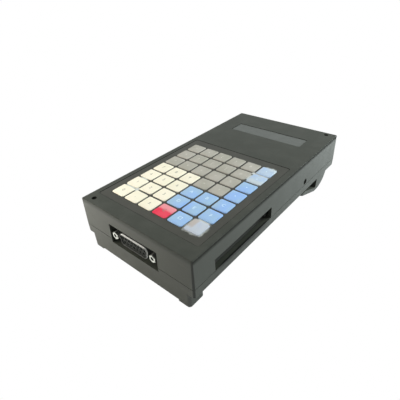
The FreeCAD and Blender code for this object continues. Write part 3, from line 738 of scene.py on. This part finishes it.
def extrude(step):
    """Push the picked faces, edges or points on by a step."""
    bpy.ops.mesh.extrude_region_move(TRANSFORM_OT_translate={"value": step})


def widen(across, along):
    """Scale what is picked about its middle, across and along."""
    bpy.ops.transform.resize(value=(across, along, 1.0))


def add_block(size, middle):
    """Block at its place, left in edit mode."""
    start_piece()
    bpy.ops.mesh.primitive_cube_add(size=1.0)
    bpy.ops.object.mode_set(mode="EDIT")
    bpy.ops.transform.resize(value=size)
    bpy.ops.transform.translate(value=middle)


def turn_and_place(middle, direction):
    """Turn what is picked from Z to Y where it lies along Y, and move it from the origin to its place."""
    if abs(direction.y) > abs(direction.z):
        bpy.ops.transform.rotate(value=math.pi / 2, orient_axis="X", center_override=(0.0, 0.0, 0.0))
    bpy.ops.transform.translate(value=middle)


def add_bar(radius, bar_length, middle, direction=UP, sides=32):
    """Round or many-sided bar at its place, left in edit mode."""
    start_piece()
    bpy.ops.mesh.primitive_cylinder_add(vertices=sides, radius=radius, depth=bar_length)
    bpy.ops.object.mode_set(mode="EDIT")
    turn_and_place(middle, direction)
    return bpy.context.object


def add_threaded_bar(radius, tooth, pitch, bar_length, middle, direction=UP):
    """Bar with a thread of sharp teeth, cut flat at both ends."""
    spare_turns = 2
    turns = math.ceil(bar_length / pitch) + spare_turns
    start_piece()
    bpy.ops.mesh.primitive_plane_add(size=pitch)
    bpy.ops.object.mode_set(mode="EDIT")
    bpy.ops.mesh.select_mode(type="VERT")
    bpy.ops.mesh.merge(type="CENTER")
    bpy.ops.transform.translate(value=(radius - tooth, 0.0, -(turns + 1) * pitch / 2))
    extrude((tooth, 0.0, pitch / 2))
    extrude((-tooth, 0.0, pitch / 2))
    bpy.ops.object.mode_set(mode="OBJECT")
    bar = bpy.context.object
    thread = bar.modifiers.new("Thread", "SCREW")
    thread.screw_offset = pitch
    thread.iterations = turns
    thread.steps = 20
    thread.render_steps = thread.steps
    bpy.ops.object.modifier_apply(modifier=thread.name)
    bpy.ops.object.mode_set(mode="EDIT")
    bpy.ops.mesh.select_all(action="SELECT")
    bpy.ops.mesh.remove_doubles(threshold=WELD)
    for end in (-1.0, 1.0):
        bpy.ops.mesh.select_all(action="SELECT")
        bpy.ops.mesh.bisect(
            plane_co=(0.0, 0.0, end * bar_length / 2), plane_no=(0.0, 0.0, end),
            use_fill=True, clear_outer=True, threshold=WELD,
        )
    bpy.ops.mesh.select_all(action="SELECT")
    turn_and_place(middle, direction)
    return finish_piece()


def cut(piece, tool, operation="DIFFERENCE"):
    """Shape a piece by a tool, which is used up."""
    start_piece(piece)
    step = piece.modifiers.new("Cut", "BOOLEAN")
    step.operation = operation
    step.object = tool
    step.solver = "EXACT"
    step.material_mode = "TRANSFER"
    bpy.ops.object.modifier_apply(modifier=step.name)
    bpy.data.meshes.remove(tool.data)


def join(pieces):
    """One piece from several."""
    start_piece(*pieces)
    bpy.ops.object.join()
    return pieces[0]


def copy_by(piece, offset):
    """Copy of a piece, with its own mesh, moved by an offset."""
    start_piece(piece)
    bpy.ops.object.duplicate()
    bpy.ops.transform.translate(value=offset)
    bpy.ops.object.transform_apply()
    return bpy.context.object


def solid_boxes(node):
    """Lowest and highest corner of each solid of a CAD node, in a fixed order."""
    shape = bmesh.new()
    shape.from_mesh(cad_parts[node].data)
    bmesh.ops.remove_doubles(shape, verts=shape.verts, dist=WELD)
    unseen = set(shape.verts)
    boxes = []
    while unseen:
        solid = [unseen.pop()]
        for vertex in solid:
            near = {edge.other_vert(vertex) for edge in vertex.link_edges} & unseen
            unseen -= near
            solid.extend(near)
        low = Vector([min(vertex.co[axis] for vertex in solid) for axis in range(3)])
        high = Vector([max(vertex.co[axis] for vertex in solid) for axis in range(3)])
        boxes.append((low, high))
    shape.free()
    return sorted(boxes, key=lambda box: tuple(box[0]))


def hand_over(piece, name, body, node):
    """Name a piece, let it ride on its body and stand for its CAD node."""
    piece.name = name
    piece.data.name = name
    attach(piece, body)
    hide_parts(node)


def model_solids(model, settings, finishes, node, name):
    """Model each kind of solid of a node once, copy it to the others, and join them to stand for the node."""
    first_of_size = {}
    pieces = []
    for low, high in solid_boxes(node):
        size = tuple(round(side / MM, 1) for side in high - low)
        if size in first_of_size:
            first, first_low = first_of_size[size]
            pieces.append(copy_by(first, low - first_low))
        else:
            pieces.append(model(settings, finishes, low, high))
            first_of_size[size] = (pieces[-1], low)
    piece = join(pieces)
    bpy.ops.object.shade_smooth_by_angle(angle=SMOOTH_ANGLE)
    hand_over(piece, name, "case", node)


def model_key(settings, node):
    """Key at its place: rounded crowned cap, collar and plunger."""
    low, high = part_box(node)
    size = high - low
    middle = (low + high) / 2
    collar_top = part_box("keypad_bezel")[0].z - settings.play
    rim = high.z - settings.crown - settings.ink_thickness
    add_block(
        (settings.cap_width, settings.cap_length, rim - collar_top),
        (middle.x, middle.y, (rim + collar_top) / 2),
    )
    pick_upright_edges()
    bpy.ops.mesh.bevel(offset=settings.corner_radius, segments=4)
    round_rim(UP, settings.edge_radius, segments=3)
    pick_faces(UP)
    for share, rise in CROWN_RINGS:
        extrude(rise * settings.crown * UP)
        widen(share, share)
    pick_faces(DOWN)
    extrude(Vector())
    widen(size.x / settings.cap_width, size.y / settings.cap_length)
    extrude(settings.collar_thickness * DOWN)
    extrude(Vector())
    widen(settings.plunger_size / size.x, settings.plunger_size / size.y)
    extrude((collar_top - settings.collar_thickness - low.z) * DOWN)
    key = finish_piece()
    bpy.ops.object.shade_smooth_by_angle(angle=SMOOTH_ANGLE)
    return key


def print_sign(settings, sign, place, ink):
    """Printed sign, flat on the top of a key."""
    start_piece()
    bpy.ops.object.text_add(location=place)
    text = bpy.context.object
    text.data.body = sign
    text.data.size = settings.sign_height / CAPITAL_SHARE
    text.data.align_x = "CENTER"
    text.data.align_y = "CENTER"
    text.data.extrude = settings.ink_thickness / 2
    text.data.materials.append(ink)
    bpy.ops.object.convert(target="MESH")
    bpy.ops.object.transform_apply()
    return bpy.context.object


def cap_finishes(settings):
    """Plastic of each kind of cap, with the faded side of the clear key and the stain of the worn one."""
    finishes = {}
    for letter, cap in CAPS.items():
        stain = getattr(settings, f"{cap.tint}_stain")
        finishes[letter] = cap_plastic(cap.finish, getattr(settings, cap.tint), stain, cap.stain_share)
    faded_middle = between(CLEAR_KEY, CLEAR_KEY) + settings.fade_offset
    wear_through(finishes["R"], settings.faded_red, [(faded_middle, FADE_REACH)])
    tan_middle = between(WORN_KEY, WORN_KEY) + settings.tan_offset
    wear_through(finishes["T"], settings.tan, [(tan_middle, STAIN_REACH)])
    return finishes


class PROGRAMMER_OT_make_keys(Operator):
    """Model the keys, each with its colour and its printed sign"""

    bl_idname = "programmer.make_keys"
    bl_label = "Make Keys"

    def execute(self, context):
        settings = context.scene.programmer_keys
        finishes = cap_finishes(settings)
        tones = ("dark", "light", "grey")
        inks = {tone: printed_ink(tone, getattr(settings, f"{tone}_ink")) for tone in tones}
        first_node = "key_row1_col1"
        first_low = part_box(first_node)[0]
        blank = model_key(settings, first_node)
        for row, (letters, signs) in enumerate(zip(CAP_ROWS, SIGN_ROWS), start=1):
            for column, (letter, sign) in enumerate(zip(letters, signs), start=1):
                cap = CAPS[letter]
                node = f"key_row{row}_col{column}"
                low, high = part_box(node)
                key = copy_by(blank, low - first_low)
                key.data.materials.append(finishes[letter])
                if sign.strip():
                    place = ((low.x + high.x) / 2, (low.y + high.y) / 2, high.z - settings.ink_thickness / 2)
                    key = join([key, print_sign(settings, sign, place, inks[cap.ink])])
                hand_over(key, f"cap_row{row}_col{column}", node, node)
        bpy.data.meshes.remove(blank.data)
        return {"FINISHED"}


def window_acrylic():
    """Smoked clear plastic with a dull face."""
    clean = (0.134, 0.139, 0.130)
    smudged = (0.126, 0.131, 0.122)
    material, tree, shader = new_material("Smoked acrylic")
    marks = place_group(tree, handling(), Smudges_per_mm=0.2)
    base = mix(tree, marks["Smudge"], clean, smudged)
    fill(tree, shader, {"Base Color": base, "Roughness": vary(tree, marks["Smudge"], 0.45, 0.55)})
    fill(tree, shader, {"Transmission Weight": 0.15, "IOR": 1.49})
    return material


def liquid_crystal():
    """Display glass with two rows of faint character cells."""
    cell = (0.20, 0.21, 0.19)
    clear = (0.20, 0.215, 0.195)
    cloudy = (0.23, 0.245, 0.22)
    material, tree, shader = new_material("Liquid crystal")
    place = millimetres(tree)
    low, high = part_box("display_glass")
    middle = (low + high) / (2 * MM)
    centred = add_node(
        tree, "ShaderNodeMapping", {"Vector": place, "Location": (-middle.x, -middle.y, 0.0)}
    )
    gaps = brick_joints(
        tree, centred.outputs[0], width=3.55, height=5.95, joint=0.3, softness=0.1, offset=0.0
    )
    glass = mix(tree, noise(tree, place, 0.05), clear, cloudy)
    fill(tree, shader, {"Base Color": mix(tree, gaps, cell, glass), "Roughness": 0.25})
    return material


class PROGRAMMER_OT_dress_display(Operator):
    """Give the display its window, glass and frame"""

    bl_idname = "programmer.dress_display"
    bl_label = "Dress Display"

    def execute(self, context):
        dress(window_acrylic(), "display_window")
        dress(liquid_crystal(), "display_glass")
        dress(plain_plastic("Black painted steel", (0.02, 0.02, 0.02)), "display_frame")
        return {"FINISHED"}


def model_contact(settings, finishes, low, high):
    """Socket contact: a bored barrel along Y, and a thin tail bent down to the board."""
    barrel_radius = settings.contact_diameter / 2
    tail_radius = settings.tail_diameter / 2
    axis_x = (low.x + high.x) / 2
    axis_z = high.z - barrel_radius
    tail_y = high.y - barrel_radius
    bend = 2 * tail_radius
    barrel_end = tail_y - bend - settings.tail_diameter
    barrel = add_bar(
        barrel_radius, barrel_end - low.y, (axis_x, (low.y + barrel_end) / 2, axis_z), BACK, sides=20
    )
    pick_faces(FRONT)
    bpy.ops.mesh.inset(thickness=barrel_radius - settings.contact_bore / 2)
    extrude(settings.contact_depth * BACK)
    pick_faces(BACK)
    bpy.ops.mesh.inset(thickness=barrel_radius - tail_radius)
    extrude(settings.tail_diameter * BACK)
    bpy.ops.mesh.spin(
        steps=5, angle=-math.pi / 2, center=(axis_x, tail_y - bend, axis_z - bend), axis=(1.0, 0.0, 0.0)
    )
    extrude((axis_z - bend - low.z) * DOWN)
    barrel.data.materials.append(finishes[0])
    return finish_piece()


def model_jack_post(settings, finishes, low, high):
    """Jack post along Y: hexagon with turned rims, tapped from the front, with a threaded stub behind."""
    middle = (low + high) / 2
    radius = (high.z - low.z) / 2
    hexagon_end = high.y - settings.stub_length
    hexagon_length = hexagon_end - low.y
    place = Vector((middle.x, low.y + hexagon_length / 2, middle.z))
    outside, inside = finishes
    post = add_bar(radius, hexagon_length, place, BACK, sides=6)
    post.data.materials.append(outside)
    turned = add_bar(radius, hexagon_length, place, BACK)
    for direction in (FRONT, BACK):
        round_rim(direction, settings.chamfer, segments=1)
    cut(post, turned, "INTERSECT")
    thread = (settings.thread_diameter / 2, settings.thread_depth, settings.thread_pitch)
    past_front = 1.0 * MM
    bore_middle = Vector((middle.x, low.y + (settings.bore_depth - past_front) / 2, middle.z))
    tap = add_threaded_bar(*thread, settings.bore_depth + past_front, bore_middle, BACK)
    tap.data.materials.append(inside)
    cut(post, tap)
    stub_middle = Vector((middle.x, (hexagon_end + high.y) / 2, middle.z))
    stub = add_threaded_bar(*thread, settings.stub_length, stub_middle, BACK)
    stub.data.materials.append(outside)
    return join([post, stub])


class PROGRAMMER_OT_make_socket(Operator):
    """Model the contacts and the jack posts, and give the socket its metal and its insulator, with a painted
    highlight and painted shade on the shell and painted shade on the sides of the posts
    """

    bl_idname = "programmer.make_socket"
    bl_label = "Make Socket"

    def execute(self, context):
        settings = context.scene.programmer_socket
        gold = plated_metal("Tarnished gold", (0.30, 0.24, 0.13), (0.19, 0.15, 0.08), roughness=0.4)
        oxide = plated_metal("Dark oxide", (0.12, 0.12, 0.11), (0.07, 0.07, 0.065), roughness=0.5)
        dress(shell_plate(*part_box("socket_shell")), "socket_shell")
        dress(plain_plastic("Insulator plastic", (0.012, 0.013, 0.011), roughness=0.7), "socket_insulator")
        model_solids(model_contact, settings, (gold,), "socket_contacts", "contact_barrels")
        model_solids(
            model_jack_post, settings, (post_plate(), oxide), "jack_posts", "tapped_posts"
        )
        return {"FINISHED"}


def board_laminate():
    """Green board with a lighter net of tracks."""
    dark_green = (0.012, 0.085, 0.03)
    green = (0.02, 0.12, 0.045)
    track_green = (0.05, 0.22, 0.08)
    material, tree, shader = new_material("Board laminate")
    place = millimetres(tree)
    tracks = brick_joints(
        tree, place, width=7.6, height=2.54, joint=0.25, softness=0.2, offset=0.33, offset_frequency=3
    )
    laminate = mix(tree, noise(tree, place, 0.1, detail=3.0), dark_green, green)
    fill(tree, shader, {"Base Color": mix(tree, tracks, laminate, track_green), "Roughness": 0.35})
    set_bump(tree, shader, tracks, 0.03 * MM, strength=0.6)
    return material


class PROGRAMMER_OT_dress_inside(Operator):
    """Give the boards, the dome sheet, the card guide and the trimmer their finish"""

    bl_idname = "programmer.dress_inside"
    bl_label = "Dress Inside"

    def execute(self, context):
        dress(board_laminate(), "keypad_board", "display_board", "main_board")
        dress(plain_plastic("Dome rubber", (0.30, 0.31, 0.31), roughness=0.7), "dome_sheet")
        dress(plain_plastic("Guide plastic", (0.05, 0.05, 0.046)), "card_guide")
        dress(plain_plastic("Trimmer plastic", (0.03, 0.06, 0.16)), "contrast_trimmer")
        dress(plain_plastic("Rotor plastic", (0.03, 0.03, 0.03)), "contrast_rotor")
        return {"FINISHED"}


def model_screw(settings, finishes, low, high):
    """Case screw, head down: slotted pan head, threaded shank and tapered tip."""
    middle = (low + high) / 2
    head_width = high.x - low.x
    head_top = low.z + settings.head_height
    tip_start = high.z - settings.tip_length
    add_bar(head_width / 2, settings.head_height, (middle.x, middle.y, (low.z + head_top) / 2))
    round_rim(DOWN, settings.head_round, segments=6)
    head = finish_piece()
    add_block((2 * head_width, settings.slot_width, 2 * settings.slot_depth), (middle.x, middle.y, low.z))
    cut(head, finish_piece())
    radius = settings.thread_diameter / 2
    shank_middle = (middle.x, middle.y, (head_top + tip_start) / 2)
    shank = add_threaded_bar(
        radius, settings.thread_depth, settings.thread_pitch, tip_start - head_top, shank_middle
    )
    add_bar(
        radius - settings.thread_depth, settings.tip_length, (middle.x, middle.y, (tip_start + high.z) / 2)
    )
    pick_faces(UP)
    end_share = 0.5
    widen(end_share, end_share)
    tip = finish_piece()
    screw = join([head, shank, tip])
    screw.data.materials.append(finishes[0])
    return screw


class PROGRAMMER_OT_make_screws(Operator):
    """Model the case screws"""

    bl_idname = "programmer.make_screws"
    bl_label = "Make Screws"

    def execute(self, context):
        settings = context.scene.programmer_screws
        zinc = plated_metal("Zinc plate", (0.62, 0.62, 0.60), (0.45, 0.44, 0.42), roughness=0.3)
        model_solids(model_screw, settings, (zinc,), "case_screws", "pan_head_screws")
        return {"FINISHED"}


def floor_finish(settings):
    """Pale matte floor, burnt out to plain white in the picture and clear from below."""
    material, tree, shader = new_material("Pale floor")
    fill(tree, shader, {"Base Color": (*settings.floor, 1.0), "Roughness": 0.9, "Specular IOR Level": 0.0})
    white = add_node(tree, "ShaderNodeEmission").outputs[0]
    clear = add_node(tree, "ShaderNodeBsdfTransparent").outputs[0]
    in_picture = add_node(tree, "ShaderNodeLightPath").outputs["Is Camera Ray"]
    from_below = add_node(tree, "ShaderNodeNewGeometry").outputs["Backfacing"]
    upper = add_node(tree, "ShaderNodeMixShader", {0: in_picture, 1: shader.outputs[0], 2: white}).outputs[0]
    both = add_node(tree, "ShaderNodeMixShader", {0: from_below, 1: upper, 2: clear}).outputs[0]
    fill(tree, tree.nodes["Material Output"], {"Surface": both})
    return material


def add_soft_box(settings, side):
    """Square soft light that faces the object, and isn't mirrored in it or seen through its window."""
    place = Vector(getattr(settings, f"{side}_place"))
    bpy.ops.object.light_add(type="AREA", radius=getattr(settings, f"{side}_size"), location=place)
    light = bpy.context.object
    light.name = f"{side} soft box"
    light.data.energy = getattr(settings, f"{side}_power")
    light.data.color = getattr(settings, f"{side}_tint")
    light.visible_glossy = False
    light.visible_transmission = False
    light.rotation_mode = "QUATERNION"
    light.rotation_quaternion = (-place).to_track_quat("-Z", "Y")


def add_camera(settings):
    """Camera at its place, turned to its target and rolled."""
    bpy.ops.object.camera_add(location=settings.camera_place)
    camera = bpy.context.object
    camera.data.lens = settings.camera_lens
    camera.data.clip_start = settings.camera_near
    sight = Vector(settings.camera_target) - Vector(settings.camera_place)
    camera.rotation_mode = "QUATERNION"
    camera.rotation_quaternion = sight.to_track_quat("-Z", "Y") @ Quaternion(UP, settings.camera_roll)
    return camera


class PROGRAMMER_OT_set_stage(Operator):
    """Set the floor, the lights and the camera"""

    bl_idname = "programmer.set_stage"
    bl_label = "Set Stage"

    def execute(self, context):
        settings = context.scene.programmer_stage
        start_piece()
        bpy.ops.mesh.primitive_plane_add(size=settings.floor_size, location=settings.floor_gap * DOWN)
        floor = context.object
        floor.name = "floor"
        floor.data.materials.append(floor_finish(settings))
        for side in ("overhead", "left", "right"):
            add_soft_box(settings, side)
        world = bpy.data.worlds.new("Pale surroundings")
        world.use_nodes = True
        sky = {"Color": (*settings.sky, 1.0), "Strength": settings.sky_strength}
        fill(world.node_tree, world.node_tree.nodes["Background"], sky)
        context.scene.world = world
        context.scene.view_settings.view_transform = "Standard"
        context.scene.camera = add_camera(settings)
        return {"FINISHED"}


OPERATORS = (
    PROGRAMMER_OT_dress_case,
    PROGRAMMER_OT_make_keys,
    PROGRAMMER_OT_dress_display,
    PROGRAMMER_OT_make_socket,
    PROGRAMMER_OT_dress_inside,
    PROGRAMMER_OT_make_screws,
    PROGRAMMER_OT_set_stage,
)

SETTINGS = {
    "programmer_case": CaseSettings,
    "programmer_keys": KeySettings,
    "programmer_socket": SocketSettings,
    "programmer_screws": ScrewSettings,
    "programmer_stage": StageSettings,
}


class PROGRAMMER_PT_panel(Panel):
    """Settings and steps of the handheld programmer"""

    bl_idname = "PROGRAMMER_PT_panel"
    bl_label = "Handheld Programmer"
    bl_space_type = "VIEW_3D"
    bl_region_type = "UI"
    bl_category = "Programmer"

    def draw(self, context):
        layout = self.layout
        for name in SETTINGS:
            settings = getattr(context.scene, name)
            box = layout.box()
            for key in settings.__annotations__:
                box.prop(settings, key)
        for operator in OPERATORS:
            layout.operator(operator.bl_idname)


def register():
    """Make the settings, the operators and the panel known."""
    for name, group in SETTINGS.items():
        bpy.utils.register_class(group)
        setattr(bpy.types.Scene, name, PointerProperty(type=group))
    for operator in OPERATORS:
        bpy.utils.register_class(operator)
    bpy.utils.register_class(PROGRAMMER_PT_panel)


def unregister():
    """Take them out again."""
    bpy.utils.unregister_class(PROGRAMMER_PT_panel)
    for operator in reversed(OPERATORS):
        bpy.utils.unregister_class(operator)
    for name, group in SETTINGS.items():
        delattr(bpy.types.Scene, name)
        bpy.utils.unregister_class(group)


def main():
    """Run every step in order."""
    register()
    bpy.ops.programmer.dress_case()
    bpy.ops.programmer.make_keys()
    bpy.ops.programmer.dress_display()
    bpy.ops.programmer.make_socket()
    bpy.ops.programmer.dress_inside()
    bpy.ops.programmer.make_screws()
    bpy.ops.programmer.set_stage()


if __name__ == "__main__":
    main()
